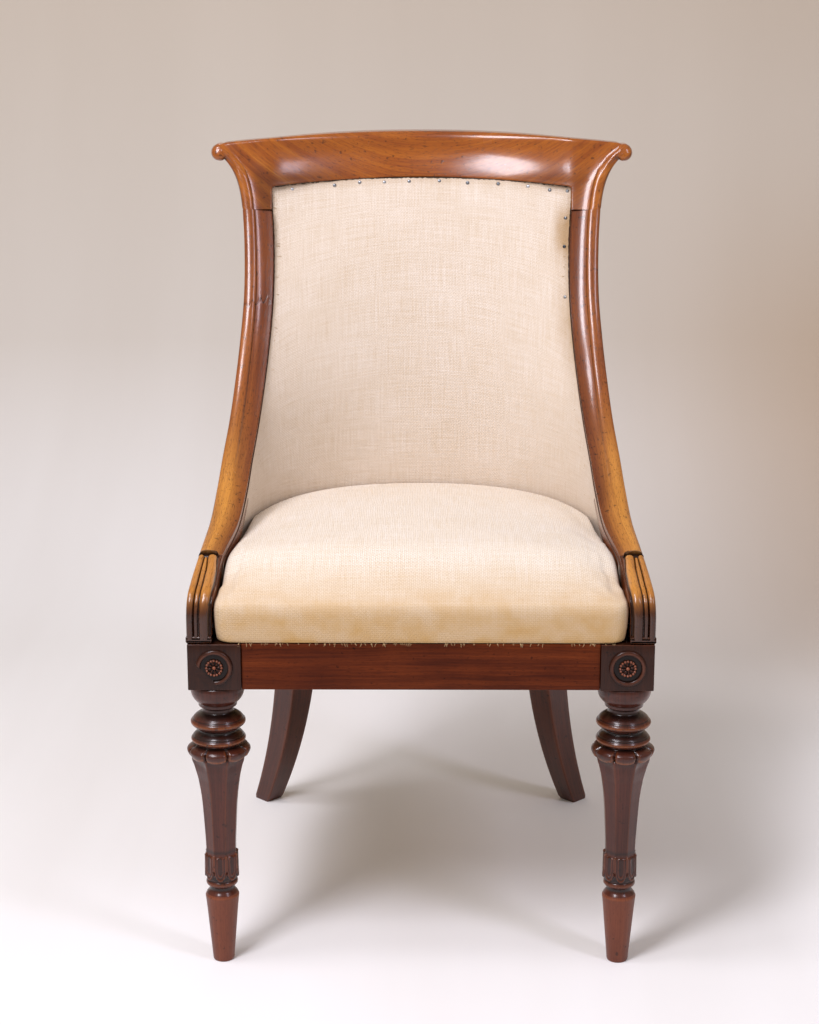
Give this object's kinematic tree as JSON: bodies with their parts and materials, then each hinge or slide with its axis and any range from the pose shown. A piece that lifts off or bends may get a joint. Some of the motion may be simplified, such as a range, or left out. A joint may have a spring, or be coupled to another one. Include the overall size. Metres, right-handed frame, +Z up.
{
  "type": "klismos side chair",
  "caption": "Low-sided wooden side chair with a bowed crest rail, sweeping stiles, turned front legs, sabre back legs and a domed sprung seat in hessian.",
  "frame": {"origin": "on the floor, under the middle of the chair's outer box", "axes": "+X to the viewer's right as the chair is seen from the front, +Y towards its back, +Z up"},
  "size_m": [0.5368, 0.5906, 0.9116],
  "materials": {
    "polished_mahogany": "French-polished mahogany, warm orange brown",
    "dark_mahogany": "French-polished mahogany, dark red brown",
    "beech": "raw sawn beech",
    "hessian": "plain-woven jute hessian",
    "stuffing": "teased fibre stuffing",
    "lining_hessian": "heavy jute hessian over the springs",
    "jute_webbing": "woven jute webbing",
    "spring_steel": "dull coppered spring wire"
  },
  "bodies": {
    "root": {"crest_rail": "polished_mahogany", "stile_left": "polished_mahogany", "stile_right": "polished_mahogany", "front_leg_left": "dark_mahogany", "front_leg_right": "dark_mahogany", "patera_left": "dark_mahogany", "patera_right": "dark_mahogany", "front_seat_rail": "dark_mahogany", "side_seat_rail_left": "dark_mahogany", "side_seat_rail_right": "dark_mahogany", "back_seat_rail": "dark_mahogany", "back_leg_left": "dark_mahogany", "back_leg_right": "dark_mahogany", "corner_block_left": "beech", "corner_block_right": "beech", "back_upright_left": "beech", "back_upright_right": "beech", "back_stay_rail": "beech", "crest_dowel_left": "beech", "crest_dowel_right": "beech", "terminal_dowel_left": "beech", "terminal_dowel_right": "beech", "inside_back_cover": "hessian", "outside_back_cover": "hessian", "seat_cover": "hessian", "back_stuffing": "stuffing", "seat_stuffing": "stuffing", "spring_deck_hessian": "lining_hessian", "seat_webbing": "jute_webbing", "back_web_1": "jute_webbing", "back_web_2": "jute_webbing", "back_web_3": "jute_webbing", "back_web_4": "jute_webbing", "back_web_5": "jute_webbing", "seat_spring_front_left": "spring_steel", "seat_spring_front_right": "spring_steel", "seat_spring_middle": "spring_steel", "seat_spring_back_left": "spring_steel", "seat_spring_back_right": "spring_steel"}
  },
  "joints": []
}
